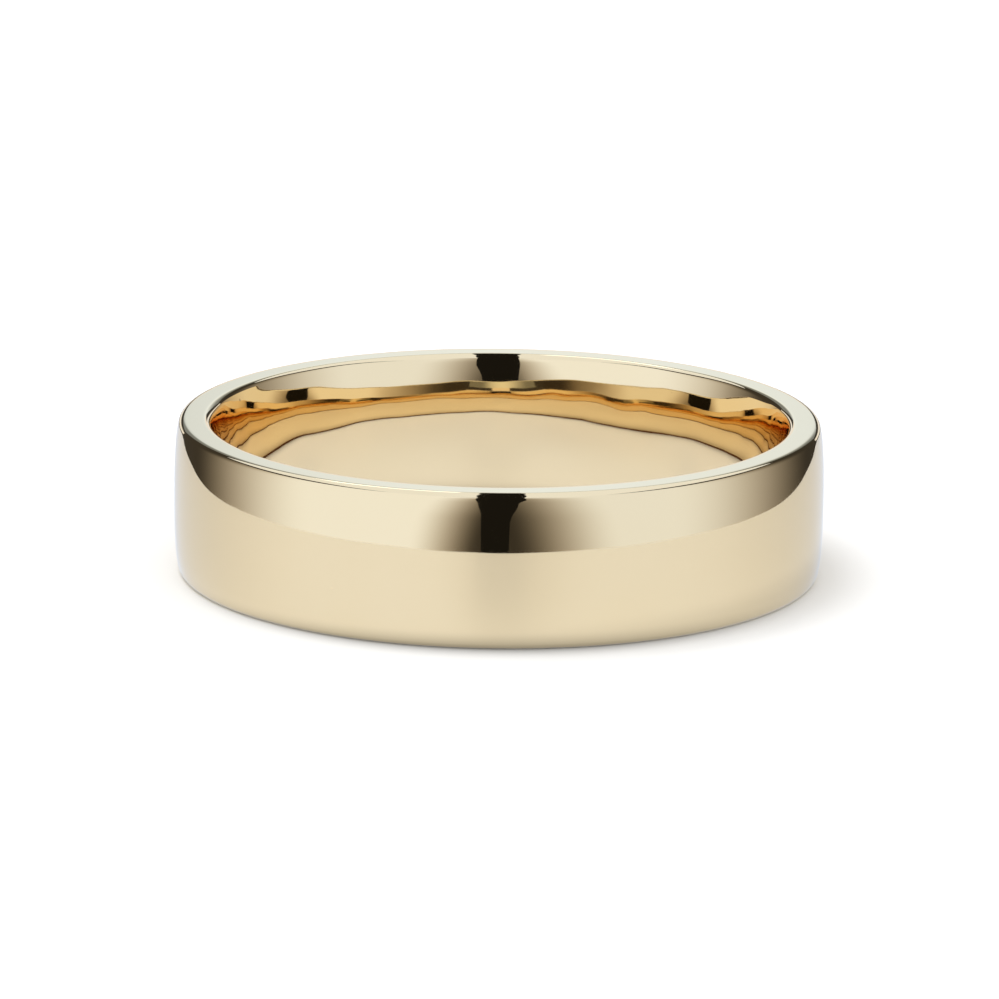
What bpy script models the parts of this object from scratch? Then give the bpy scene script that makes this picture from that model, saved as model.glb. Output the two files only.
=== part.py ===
"""Comfort-fit wedding band: one seamless ring of gold, turned and polished.

The ring lies on one of its rims. Its axis is +Z, and the origin is on that axis in the plane of
the lower rim. The section is drawn once, in millimetres, at +X and swept round the axis.
"""
from math import atan, cos, pi, radians, sin

import bpy

# Driving sizes, in millimetres.
BAND_WIDTH = 5.0            # from rim to rim, along the finger
BORE_DIAMETER = 18.2        # tightest place of the finger hole, half way between the rims
WALL = 1.41                 # from the bore to the crest of the crown, half way between the rims
CROWN_FALL = 0.14           # how far the crown falls from its crest to each outer edge
COMFORT_RELIEF = 0.29       # how far the bore opens from its middle to each inner edge
OUTER_EDGE_RADIUS = 0.17    # outer edges, broken and softened by polishing
INNER_EDGE_RADIUS = 0.15    # inner edges, where the comfort curve meets each rim

# Both long curves of the section are nearly flat in the middle and bend more towards the rims.
CROWN_POWER = 2.7
COMFORT_POWER = 2.2

# How finely the section and the sweep are divided.
CURVE_STEPS = 8
EDGE_STEPS = 3
TURN_STEPS = 96

METRES = 0.001
COLLECTION_NAME = "wedding_band"


def curve_end(fall, power, edge_radius):
    """Height above mid width, and tilt, where a long curve of the section meets its edge round."""
    height = BAND_WIDTH / 2
    for _ in range(10):
        tilt = atan(power * fall / height)
        height = BAND_WIDTH / 2 - edge_radius * (1 - sin(tilt))
    return height, tilt


def section_side(crest_radius, outward, fall, power, edge_radius):
    """Points (radius, height above mid width) down one side of the section, rim to rim.

    outward is 1 on the crowned outer side and -1 on the bore side.
    """
    end_height, end_tilt = curve_end(fall, power, edge_radius)
    centre_radius = crest_radius - outward * (fall + edge_radius * cos(end_tilt))
    centre_height = BAND_WIDTH / 2 - edge_radius

    upper_edge = []
    for step in range(EDGE_STEPS):
        angle = radians(90) + (end_tilt - radians(90)) * step / EDGE_STEPS
        radius = centre_radius + outward * edge_radius * cos(angle)
        upper_edge.append((radius, centre_height + edge_radius * sin(angle)))

    curve = []
    for step in range(CURVE_STEPS + 1):
        # Equal steps of the cosine crowd the points towards the rims, where the curve bends.
        share = cos(pi * step / CURVE_STEPS)
        curve.append((crest_radius - outward * fall * abs(share) ** power, end_height * share))

    lower_edge = [(radius, -height) for radius, height in reversed(upper_edge)]
    return upper_edge + curve + lower_edge


def section_outline():
    """Closed outline of the section: down the outer side, then up the bore side."""
    bore_radius = BORE_DIAMETER / 2
    outside = section_side(bore_radius + WALL, 1, CROWN_FALL, CROWN_POWER, OUTER_EDGE_RADIUS)
    inside = section_side(bore_radius, -1, COMFORT_RELIEF, COMFORT_POWER, INNER_EDGE_RADIUS)
    return outside + inside[::-1]


def gold():
    """Polished yellow gold."""
    material = bpy.data.materials.new("polished_yellow_gold")
    material.use_nodes = True
    shader = material.node_tree.nodes["Principled BSDF"]
    shader.inputs["Base Color"].default_value = (0.83, 0.66, 0.38, 1.0)
    shader.inputs["Metallic"].default_value = 1.0
    shader.inputs["Roughness"].default_value = 0.08
    return material


def band(collection):
    """The whole ring, as its section swept once round the axis."""
    outline = section_outline()
    points = []
    for radius, height in outline:
        points.append((radius * METRES, 0.0, (height + BAND_WIDTH / 2) * METRES))
    edges = [(index, (index + 1) % len(points)) for index in range(len(points))]

    mesh = bpy.data.meshes.new("band")
    mesh.from_pydata(points, edges, [])
    mesh.materials.append(gold())
    ring = bpy.data.objects.new("band", mesh)
    collection.objects.link(ring)

    sweep = ring.modifiers.new("sweep", "SCREW")
    sweep.axis = "Z"
    sweep.angle = radians(360)
    sweep.steps = TURN_STEPS
    sweep.render_steps = TURN_STEPS
    sweep.use_merge_vertices = True
    sweep.merge_threshold = 0.00001
    sweep.use_smooth_shade = True
    return ring


def main():
    for old in list(bpy.data.objects):
        bpy.data.objects.remove(old, do_unlink=True)
    collection = bpy.data.collections.new(COLLECTION_NAME)
    bpy.context.scene.collection.children.link(collection)
    band(collection)


main()
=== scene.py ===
import math

import bmesh
import bpy
from mathutils import Matrix, Quaternion, Vector, noise


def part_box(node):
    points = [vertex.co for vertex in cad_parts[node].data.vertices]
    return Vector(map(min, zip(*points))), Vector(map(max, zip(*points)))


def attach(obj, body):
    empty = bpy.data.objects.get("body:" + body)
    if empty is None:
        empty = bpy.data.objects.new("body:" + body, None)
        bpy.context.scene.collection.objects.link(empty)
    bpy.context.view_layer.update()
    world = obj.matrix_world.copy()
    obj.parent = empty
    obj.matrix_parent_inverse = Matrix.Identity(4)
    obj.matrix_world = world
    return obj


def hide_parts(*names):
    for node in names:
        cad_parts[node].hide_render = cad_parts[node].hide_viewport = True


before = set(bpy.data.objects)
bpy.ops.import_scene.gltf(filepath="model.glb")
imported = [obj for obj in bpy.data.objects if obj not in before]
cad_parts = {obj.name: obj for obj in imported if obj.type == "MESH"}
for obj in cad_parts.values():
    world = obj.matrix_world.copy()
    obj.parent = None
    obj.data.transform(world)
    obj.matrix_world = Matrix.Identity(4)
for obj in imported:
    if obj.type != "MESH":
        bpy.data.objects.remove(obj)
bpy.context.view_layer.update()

# ---------------------------------------------------------------- sizes, in millimetres
MM = 0.001

LOW_CORNER, HIGH_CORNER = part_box("band")
BAND_WIDTH = (HIGH_CORNER.z - LOW_CORNER.z) / MM
OUTER_RADIUS = HIGH_CORNER.x / MM
BORE_RADIUS = min(math.hypot(v.co.x, v.co.y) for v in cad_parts["band"].data.vertices) / MM

CROWN_FALL = 0.14           # from the crest of the outside to each outer edge
COMFORT_RELIEF = 0.29       # from the middle of the bore to each inner edge
CROWN_POWER = 2.7           # both long curves are flat in the middle and bend near the rims
COMFORT_POWER = 2.2
OUTER_EDGE_RADIUS = 0.17
INNER_EDGE_RADIUS = 0.15

# How finely the band is divided: the reflections of a mirror polish show any flat facet.
SECTORS = 20                # the ring is turned as this many equal pieces
SECTOR_STEPS = 31
WALL_CUTS = 43
LAND_CUTS = 9
EDGE_SEGMENTS = 10
WELD = 0.001                # corners closer than this become one

# What the polishing wheel leaves: low swells, deeper inside, where a small bob is held by hand.
# Each pair is the height of a swell and the size of its pattern. The start only picks which
# stretch of the endless pattern this ring gets.
BORE_SWELLS = ((0.047, 3.2), (0.003, 1.0))
OUTSIDE_SWELLS = ((0.0012, 1.6),)
SWELL_START = Vector((85.2, 39.3, 95.3))
LEAST_SWELL = 0.01          # the share of a swell below which a corner stays where it is
# The same wheel eases the last of the outside into each edge.
EASE_WIDTH = 0.75
EASE_FALL = 0.03

MIDDLE_RADIUS = (OUTER_RADIUS + BORE_RADIUS) / 2    # parts the outside from the bore


# ---------------------------------------------------------------- small helpers
def linear(hex_colour):
    """An sRGB hex colour as the linear RGBA that shaders take."""
    channels = [int(hex_colour[i:i + 2], 16) / 255 for i in (1, 3, 5)]
    return [c / 12.92 if c <= 0.04045 else ((c + 0.055) / 1.055) ** 2.4 for c in channels] + [1.0]


def add_node(tree, kind, inputs=None, **settings):
    """Adds one node, sets it up, and fills its inputs from values or from other nodes' outputs."""
    node = tree.nodes.new(kind)
    for name, value in settings.items():
        setattr(node, name, value)
    for name, value in (inputs or {}).items():
        if isinstance(value, bpy.types.NodeSocket):
            tree.links.new(value, node.inputs[name])
        else:
            node.inputs[name].default_value = value
    return node


def new_material(name):
    """An empty node material and its tree, holding only the output node."""
    material = bpy.data.materials.new(name)
    material.use_nodes = True
    tree = material.node_tree
    tree.nodes.clear()
    return material, tree, tree.nodes.new("ShaderNodeOutputMaterial")


def new_object(name, bm, material):
    """Turns a finished bmesh into an object at the origin with that material."""
    mesh = bpy.data.meshes.new(name)
    bm.to_mesh(mesh)
    bm.free()
    mesh.materials.append(material)
    thing = bpy.data.objects.new(name, mesh)
    bpy.context.scene.collection.objects.link(thing)
    return thing


# ---------------------------------------------------------------- the band
def band_section():
    """The section of the band at +X: a rectangle with rounded corners, then bowed on both sides."""
    bm = bmesh.new()
    half = BAND_WIDTH / 2
    outside = [bm.verts.new((OUTER_RADIUS, 0, half)), bm.verts.new((OUTER_RADIUS, 0, -half))]
    inside = [bm.verts.new((BORE_RADIUS, 0, -half)), bm.verts.new((BORE_RADIUS, 0, half))]
    bm.faces.new(outside + inside)
    for corners, radius in ((outside, OUTER_EDGE_RADIUS), (inside, INNER_EDGE_RADIUS)):
        bmesh.ops.bevel(bm, geom=corners, offset=radius, segments=EDGE_SEGMENTS, profile=0.5,
                        affect="VERTICES", material=-1)
    bmesh.ops.delete(bm, geom=bm.faces[:], context="FACES_ONLY")

    walls = [e for e in bm.edges if e.calc_length() > half]
    lands = [e for e in bm.edges if INNER_EDGE_RADIUS < e.calc_length() < half]
    bmesh.ops.subdivide_edges(bm, edges=walls, cuts=WALL_CUTS)

    for vert in bm.verts:
        height = abs(vert.co.z)
        if vert.co.x > MIDDLE_RADIUS:
            ease = max(0.0, 1 - (half - height) / EASE_WIDTH) ** 2
            vert.co.x -= CROWN_FALL * (height / half) ** CROWN_POWER + EASE_FALL * ease
        else:
            vert.co.x += COMFORT_RELIEF * (height / half) ** COMFORT_POWER
    bmesh.ops.subdivide_edges(bm, edges=lands, cuts=LAND_CUTS)
    return bm


def swell_height(place, swells):
    """How far the polished surface stands out at that place, summed over its sizes of swell."""
    return sum(height * noise.noise(place / size + SWELL_START) for height, size in swells)


def polish_swells(bm):
    """Moves the walls in and out by the low swells that hand polishing leaves in them."""
    half = BAND_WIDTH / 2
    for vert in bm.verts:
        fade = min(1.0, (half - abs(vert.co.z)) / OUTER_EDGE_RADIUS)
        if fade < LEAST_SWELL:
            continue
        radius = math.hypot(vert.co.x, vert.co.y)
        swells = BORE_SWELLS if radius < MIDDLE_RADIUS else OUTSIDE_SWELLS
        swell = fade * swell_height(vert.co, swells)
        vert.co.x += swell * vert.co.x / radius
        vert.co.y += swell * vert.co.y / radius


def make_band(material):
    """The whole ring: its section spun once round the axis, swelled, and set on its lower rim."""
    bm = band_section()
    bmesh.ops.spin(bm, geom=bm.verts[:] + bm.edges[:], cent=(0, 0, 0), axis=(0, 0, 1),
                   angle=math.tau / SECTORS, steps=SECTOR_STEPS, use_merge=False,
                   use_duplicate=False)
    sector = bm.verts[:] + bm.edges[:] + bm.faces[:]
    for number in range(1, SECTORS):
        copy = bmesh.ops.duplicate(bm, geom=sector)["geom"]
        corners = [item for item in copy if isinstance(item, bmesh.types.BMVert)]
        turn = Matrix.Rotation(number * math.tau / SECTORS, 3, "Z")
        bmesh.ops.rotate(bm, verts=corners, cent=(0, 0, 0), matrix=turn)
    bmesh.ops.remove_doubles(bm, verts=bm.verts[:], dist=WELD)
    polish_swells(bm)
    bmesh.ops.recalc_face_normals(bm, faces=bm.faces[:])
    for face in bm.faces:
        face.smooth = True
    bmesh.ops.translate(bm, vec=(0, 0, BAND_WIDTH / 2), verts=bm.verts[:])
    bmesh.ops.scale(bm, vec=(MM, MM, MM), verts=bm.verts[:])
    return new_object("polished_band", bm, material)


def yellow_gold():
    """Polished 14 carat yellow gold.

    Pale warm metal with a mirror polish. Faint hairlines from the polishing wheel run round the
    ring, a very light haze of handling breaks up the gloss, and a few pits are as small as dust.
    """
    material, tree, output = new_material("polished_14_carat_yellow_gold")
    place = add_node(tree, "ShaderNodeTexCoord").outputs["Object"]
    axes = add_node(tree, "ShaderNodeSeparateXYZ", {"Vector": place}).outputs
    flat = add_node(tree, "ShaderNodeCombineXYZ", {"X": axes["X"], "Y": axes["Y"]})
    radius = add_node(tree, "ShaderNodeVectorMath", {0: flat.outputs[0]}, operation="LENGTH")

    # Hairlines: 0.06 mm apart across the ring and about 8 mm long round it.
    hair_pitch, hair_length = 0.06 * MM, 8 * MM
    stretch = (1 / hair_length, 1 / hair_length, 1 / hair_pitch)
    along = add_node(tree, "ShaderNodeVectorMath", {0: place, 1: stretch}, operation="MULTIPLY")
    inward = add_node(tree, "ShaderNodeMath", {0: radius.outputs["Value"], 1: 1 / hair_pitch},
                      operation="MULTIPLY")
    hair = add_node(tree, "ShaderNodeTexNoise",
                    {"Vector": along.outputs[0], "W": inward.outputs[0], "Scale": 1.0,
                     "Detail": 2.0}, noise_dimensions="4D")

    # Haze of handling: soft patches.
    haze_size = 2.5 * MM
    haze = add_node(tree, "ShaderNodeTexNoise",
                    {"Vector": place, "Scale": 1 / haze_size, "Detail": 3.0})

    # Alloy tone: the colour drifts by a hundredth or two from place to place.
    tone_size = 4 * MM
    tone = add_node(tree, "ShaderNodeTexNoise", {"Vector": place, "Scale": 1 / tone_size})
    colour = add_node(tree, "ShaderNodeMix", {"Factor": tone.outputs["Fac"],
                                              "A": linear("#F6DDB0"), "B": linear("#F5DBAB")},
                      data_type="RGBA")

    hair_gloss = add_node(tree, "ShaderNodeMapRange",
                          {"Value": hair.outputs["Fac"], "To Min": 0.0, "To Max": 0.015})
    gloss = add_node(tree, "ShaderNodeMapRange",
                     {"Value": haze.outputs["Fac"], "From Min": 0.35, "From Max": 0.75,
                      "To Min": 0.015, "To Max": 0.035})
    roughness = add_node(tree, "ShaderNodeMath",
                         {0: hair_gloss.outputs[0], 1: gloss.outputs[0]}, operation="ADD")

    hair_depth = 0.0001 * MM
    hairlines = add_node(tree, "ShaderNodeBump",
                         {"Height": hair.outputs["Fac"], "Strength": 0.35,
                          "Distance": hair_depth})

    # Pits: pin-pricks 0.08 mm across, about ten on the whole ring. Their rims and floors are
    # given as shares of the space between them.
    pit_space, pit_depth = 1.7 * MM, 0.01 * MM
    spots = add_node(tree, "ShaderNodeTexVoronoi", {"Vector": place, "Scale": 1 / pit_space})
    pit = add_node(tree, "ShaderNodeMapRange",
                   {"Value": spots.outputs["Distance"], "From Min": 0.025, "From Max": 0.012})
    pitted = add_node(tree, "ShaderNodeBump",
                      {"Height": pit.outputs[0], "Strength": 0.6, "Distance": pit_depth,
                       "Normal": hairlines.outputs["Normal"]}, invert=True)
    shader = add_node(tree, "ShaderNodeBsdfPrincipled",
                      {"Base Color": colour.outputs["Result"], "Metallic": 1.0,
                       "Roughness": roughness.outputs[0], "Normal": pitted.outputs["Normal"]})
    tree.links.new(shader.outputs["BSDF"], output.inputs["Surface"])
    return material


# ---------------------------------------------------------------- the studio
CAMERA, DIFFUSE, GLOSSY = "visible_camera", "visible_diffuse", "visible_glossy"


def seen_by(thing, *rays):
    """A stage piece that only these kinds of light rays meet."""
    for kind in (CAMERA, DIFFUSE, GLOSSY, "visible_transmission", "visible_shadow"):
        setattr(thing, kind, kind in rays)


def glow(name, colour, strength):
    """A plain glowing surface, for stage pieces that stand for lit paper or cloth, for dark
    openings, and for a line of painted shade.
    """
    material, tree, output = new_material(name)
    light = add_node(tree, "ShaderNodeEmission", {"Color": colour, "Strength": strength})
    tree.links.new(light.outputs[0], output.inputs["Surface"])
    return material


def soft_glow(name, lit_colour, dim_colour, strength, floor_level, edges):
    """Lit cloth that fades out, and turns warmer, towards its sides.

    edges holds, for each side, the bearing in degrees where the cloth is dark, the one where it
    is fully lit, and how many degrees both move for each 100 mm of height. Bearings are taken
    round the ring: 0 is the front and 90 is its right-hand side.
    """
    lean_height = 100 * MM
    material, tree, output = new_material(name)
    place = add_node(tree, "ShaderNodeTexCoord").outputs["Object"]
    axes = add_node(tree, "ShaderNodeSeparateXYZ", {"Vector": place}).outputs
    forward = add_node(tree, "ShaderNodeMath", {0: axes["Y"], 1: -1.0}, operation="MULTIPLY")
    bearing = add_node(tree, "ShaderNodeMath", {0: axes["X"], 1: forward.outputs[0]},
                       operation="ARCTAN2").outputs[0]
    share = 1.0
    for dark, lit, lean in edges:
        slope = math.radians(lean) / lean_height
        shift = add_node(tree, "ShaderNodeMath", {0: axes["Z"], 1: slope}, operation="MULTIPLY")
        leaned = add_node(tree, "ShaderNodeMath", {0: bearing, 1: shift.outputs[0]})
        fade = add_node(tree, "ShaderNodeMapRange",
                        {"Value": leaned.outputs[0], "From Min": math.radians(dark),
                         "From Max": math.radians(lit)}, interpolation_type="SMOOTHSTEP")
        share = add_node(tree, "ShaderNodeMath", {0: fade.outputs[0], 1: share},
                         operation="MULTIPLY").outputs[0]
    colour = add_node(tree, "ShaderNodeMix", {"Factor": share, "A": dim_colour, "B": lit_colour},
                      data_type="RGBA")
    level = add_node(tree, "ShaderNodeMapRange",
                     {"Value": share, "To Min": floor_level, "To Max": strength})
    light = add_node(tree, "ShaderNodeEmission",
                     {"Color": colour.outputs["Result"], "Strength": level.outputs[0]})
    tree.links.new(light.outputs[0], output.inputs["Surface"])
    return material


def back_glow(name, colour, strength):
    """A lit cloth behind the ring, brightest in its middle, with dim sides.

    It falls to a quarter of its light sooner on the left than on the right.
    """
    left, right, dim = -0.10, 0.16, 0.25
    material, tree, output = new_material(name)
    place = add_node(tree, "ShaderNodeTexCoord").outputs["Object"]
    across = add_node(tree, "ShaderNodeSeparateXYZ", {"Vector": place}).outputs["X"]
    level = strength
    for side in (left, right):
        fade = add_node(tree, "ShaderNodeMapRange",
                        {"Value": across, "From Min": side, "From Max": 0.0, "To Min": dim},
                        interpolation_type="SMOOTHSTEP")
        level = add_node(tree, "ShaderNodeMath", {0: fade.outputs[0], 1: level},
                         operation="MULTIPLY").outputs[0]
    light = add_node(tree, "ShaderNodeEmission", {"Color": colour, "Strength": level})
    tree.links.new(light.outputs[0], output.inputs["Surface"])
    return material


def curved_sheet(name, material, radius, bearings, heights):
    """A sheet standing round the ring at that radius, between two bearings and two heights."""
    bm = bmesh.new()
    start, end = (math.radians(b) for b in bearings)
    foot, head = (bm.verts.new((radius * math.sin(start), -radius * math.cos(start), h))
                  for h in heights)
    edge = bm.edges.new((foot, head))
    bmesh.ops.spin(bm, geom=[foot, head, edge], cent=(0, 0, 0), axis=(0, 0, 1),
                   angle=end - start, steps=48, use_merge=False, use_duplicate=False)
    return new_object(name, bm, material)


def flat_sheet(name, material, low, high, height):
    """A rectangular sheet lying level at that height, between two corners."""
    bm = bmesh.new()
    bmesh.ops.create_grid(bm, x_segments=1, y_segments=1, size=0.5)
    span = Vector((high[0] - low[0], high[1] - low[1], 1))
    centre = Vector(((low[0] + high[0]) / 2, (low[1] + high[1]) / 2, height))
    bmesh.ops.scale(bm, vec=span, verts=bm.verts[:])
    bmesh.ops.translate(bm, vec=centre, verts=bm.verts[:])
    return new_object(name, bm, material)


def white_board(name, colour, roughness, shine):
    """White card or a white table top, as rough and as shiny as asked."""
    material, tree, output = new_material(name)
    shader = add_node(tree, "ShaderNodeBsdfPrincipled",
                      {"Base Color": colour, "Roughness": roughness,
                       "Specular IOR Level": shine})
    tree.links.new(shader.outputs["BSDF"], output.inputs["Surface"])
    return material


def area_light(name, place, aim, size, power):
    """A soft white light that lights the table but isn't itself mirrored in the gold."""
    data = bpy.data.lights.new(name, "AREA")
    data.shape = "DISK"
    data.size = size
    data.energy = power
    lamp = bpy.data.objects.new(name, data)
    lamp.location = place
    lamp.rotation_euler = (Vector(aim) - Vector(place)).to_track_quat("-Z", "Y").to_euler()
    lamp.visible_glossy = False
    lamp.visible_camera = False
    bpy.context.scene.collection.objects.link(lamp)


def surround(name, material, radius):
    """A sphere round the whole studio."""
    bm = bmesh.new()
    bmesh.ops.create_uvsphere(bm, u_segments=48, v_segments=24, radius=radius)
    return new_object(name, bm, material)


def make_board():
    """The card under the ring, which only the gold sees: rounded in front, running far back."""
    half_width, front, back, corner = 24.5 * MM, -24.8 * MM, 500 * MM, 24.3 * MM
    bm = bmesh.new()
    near = [bm.verts.new((-half_width, front, 0)), bm.verts.new((half_width, front, 0))]
    far = [bm.verts.new((half_width, back, 0)), bm.verts.new((-half_width, back, 0))]
    bm.faces.new(near + far)
    bmesh.ops.bevel(bm, geom=near, offset=corner, segments=24, profile=0.5, affect="VERTICES",
                    material=-1)
    # The card's colour is painted light: a bluer, slightly dimmer white than the table's, standing
    # in for the cool light that falls on it.
    return new_object("board", bm, white_board("white_board", linear("#D9E1F0"), 0.35, 0.5))


def make_gap():
    """The dark gap between the tent's two walls, where the camera looks through.

    It opens out towards the top, more on the right than on the left, and then runs on overhead
    as a slot that narrows towards the back.
    """
    radius, roof = 0.44, 0.299
    bm = bmesh.new()

    # Each row gives a height and the bearings of the two sides.
    walls = [(-0.15, -6.0, 3.3), (-0.04, -6.0, 3.8), (-0.01, -6.0, 4.8), (0.01, -6.4, 5.8),
             (0.025, -6.8, 6.3), (0.045, -7.2, 6.8), (0.065, -7.6, 8.0), (0.085, -8.0, 9.5),
             (roof, -8.0, 9.5)]
    rows = []
    for height, *bearings in walls:
        turns = [math.radians(b) for b in bearings]
        rows.append([bm.verts.new((radius * math.sin(t), -radius * math.cos(t), height))
                     for t in turns])

    # Each row gives how far back it lies and how far across its two ends are.
    for back, left, right in [(0.0, -0.017, 0.023), (0.28, -0.0064, 0.0087)]:
        rows.append([bm.verts.new((left, back, roof)), bm.verts.new((right, back, roof))])
    for low, high in zip(rows, rows[1:]):
        bm.faces.new((low[0], low[1], high[1], high[0]))
    return new_object("camera_gap", bm, glow("dark_gap", (1, 0.97, 0.92, 1), 0.010))


def level_ring(name, material, inner, outer, height):
    """A flat ring lying level round the axis, given in millimetres."""
    bm = bmesh.new()
    ends = [bm.verts.new((radius * MM, 0, height * MM)) for radius in (inner, outer)]
    edge = bm.edges.new(ends)
    bmesh.ops.spin(bm, geom=ends + [edge], cent=(0, 0, 0), axis=(0, 0, 1), angle=math.tau,
                   steps=180, use_merge=True, use_duplicate=False)
    return new_object(name, bm, material)


def contact_shade(name, colour, density, darkest, clear, toward_front=0.0):
    """Shade lying on the table, fading out between two radii given in millimetres.

    Drawn round a smaller circle that is moved toward the front, it is deeper at the front.
    """
    material, tree, output = new_material(name)
    place = add_node(tree, "ShaderNodeTexCoord").outputs["Object"]
    moved = add_node(tree, "ShaderNodeVectorMath", {0: place, 1: (0, toward_front * MM, 0)})
    away = add_node(tree, "ShaderNodeVectorMath", {0: moved.outputs[0]}, operation="LENGTH")
    fade = add_node(tree, "ShaderNodeMapRange",
                    {"Value": away.outputs["Value"], "From Min": (clear - toward_front) * MM,
                     "From Max": (darkest - toward_front) * MM})
    deep = add_node(tree, "ShaderNodeMath", {0: fade.outputs[0], 1: 2.0}, operation="POWER")
    share = add_node(tree, "ShaderNodeMath", {0: deep.outputs[0], 1: density},
                     operation="MULTIPLY")
    lit = add_node(tree, "ShaderNodeBsdfTransparent")
    dark = add_node(tree, "ShaderNodeEmission", {"Color": colour, "Strength": 1.0})
    mixed = add_node(tree, "ShaderNodeMixShader", {0: share.outputs[0]})
    tree.links.new(lit.outputs[0], mixed.inputs[1])
    tree.links.new(dark.outputs[0], mixed.inputs[2])
    tree.links.new(mixed.outputs[0], output.inputs["Surface"])
    return material


def make_studio():
    """White table, light tent and lamps."""
    cool = (0.96, 1.10, 1.38, 1.0)
    warm = (0.95, 0.88, 0.80, 1.0)
    wall_radius = 0.45

    # The table that the camera sees is wide and white. The gold mirrors only a small board.
    floor = flat_sheet("floor", white_board("white_table", (0.81, 0.81, 0.81, 1.0), 0.6, 0.0),
                       (-1.2, -1.2), (1.2, 1.2), 0.0)
    seen_by(floor, CAMERA, DIFFUSE)
    seen_by(make_board(), GLOSSY)

    # The shade in the crevices where the ring's rounded lower edges leave the table. The inner
    # one has a thin dark line at its foot. Each lies a hair above the table, in millimetres.
    shade_width, shade_height = 1.4, 0.004
    line_width, line_overlap, line_height = 0.25, 0.02, 0.005
    land_start = BORE_RADIUS + COMFORT_RELIEF + INNER_EDGE_RADIUS
    land_end = OUTER_RADIUS - CROWN_FALL - OUTER_EDGE_RADIUS
    # The crevice line glows dim brown: painted shade at the inner foot of the ring.
    line = level_ring("inner_shade_line", glow("crevice", (1, 0.5, 0.25, 1), 0.08),
                      land_start - line_width, land_start + line_overlap, line_height)
    inner_end = land_start - shade_width
    inner_dark = contact_shade("inner_shade", (0.12, 0.07, 0.035, 1), 0.75, land_start, inner_end)
    inner = level_ring("inner_shade", inner_dark, inner_end, land_start, shade_height)
    outer_end = land_end + shade_width
    outer_dark = contact_shade("outer_shade", (0.02, 0.017, 0.015, 1), 0.6, land_end, outer_end,
                               toward_front=1.0)
    outer = level_ring("outer_shade", outer_dark, land_end, outer_end, shade_height)
    seen_by(line, GLOSSY)
    seen_by(inner, GLOSSY)
    seen_by(outer, CAMERA, GLOSSY)

    # The tent's two side walls, and what stands behind the ring: a lit cloth, a strip of far
    # table, and the part of that strip that shows between the cloth and the table.
    foot, head = -0.15, 0.30
    left_cloth = soft_glow("left_tent_wall", cool, warm, 1.0, 0.05,
                           ((-134, -68, 0), (-2.2, -27.2, -5.3)))
    left = curved_sheet("left_wall", left_cloth, wall_radius, (-150, -5), (foot, head))
    right_cloth = soft_glow("right_tent_wall", cool, warm, 0.92, 0.045,
                            ((140, 62, 0), (0.6, 39.6, 5.3)))
    right = curved_sheet("right_wall", right_cloth, wall_radius, (3, 150), (foot, head))
    back_cloth = back_glow("back_tent_wall", (0.80, 0.945, 1.12, 1.0), 1.1)
    back = curved_sheet("back_wall", back_cloth, wall_radius, (155, 205), (0.103, 0.34))
    far_table = glow("far_table", (0.95, 0.97, 1.0, 1.0), 0.95)
    low = curved_sheet("back_table", far_table, wall_radius + 0.01, (130, 230), (-0.02, 0.052))
    behind = curved_sheet("back_skirt", far_table, wall_radius, (175, 185), (-0.02, 0.104))
    gap = make_gap()
    for sheet in (left, right, gap, back, low, behind):
        seen_by(sheet, GLOSSY)

    # Past the tent the gold mirrors a dark room, and the camera sees only white.
    white = (1, 1, 1, 1)
    seen_by(surround("dark_room", glow("dark_room", white, 0.05), 0.9), GLOSSY)
    seen_by(surround("backdrop", glow("white_backdrop", white, 1.0), 1.1), CAMERA)

    # Overhead cloth hangs from the front to the back, with a small bright lamp just under it.
    ceiling_height, lamp_height = 0.302, 0.3
    ceiling = flat_sheet("ceiling", glow("lit_ceiling", cool, 0.95),
                         (-0.30, -0.42), (0.30, 0.34), ceiling_height)
    lamp = flat_sheet("hair_lamp", glow("lit_lamp", cool, 2.2),
                      (-0.11, 0.17), (-0.02, 0.25), lamp_height)
    for sheet in (ceiling, lamp):
        seen_by(sheet, GLOSSY)

    area_light("key", (-0.07, 0.02, 0.26), (0, 0, 0), 0.13, 0.22)

    daylight = 1.27
    world = bpy.data.worlds.new("soft_daylight")
    world.use_nodes = True
    sky = world.node_tree.nodes["Background"]
    sky.inputs["Color"].default_value = white
    sky.inputs["Strength"].default_value = daylight
    bpy.context.scene.world = world


def make_camera():
    """A long lens looking down a little at the ring, leaning very slightly."""
    distance, elevation, lean = 246.6 * MM, math.radians(13.8), math.radians(0.61)
    aim = Vector((0.02, 0, 2.28)) * MM
    data = bpy.data.cameras.new("camera")
    data.lens = 274.3
    data.sensor_width = 36
    camera = bpy.data.objects.new("camera", data)
    toward = Vector((0, -math.cos(elevation), math.sin(elevation)))
    camera.location = aim + distance * toward
    camera.rotation_mode = "QUATERNION"
    level = (-toward).to_track_quat("-Z", "Y")
    camera.rotation_quaternion = Quaternion(toward, lean) @ level
    bpy.context.scene.collection.objects.link(camera)
    bpy.context.scene.camera = camera


band = make_band(yellow_gold())
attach(band, "root")
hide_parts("band")

make_studio()
make_camera()
bpy.context.scene.view_settings.view_transform = "Standard"
# Inside the bore, light bounces round the ring many times before it leaves.
BORE_BOUNCES = 24
bpy.context.scene.cycles.max_bounces = BORE_BOUNCES
bpy.context.scene.cycles.glossy_bounces = BORE_BOUNCES
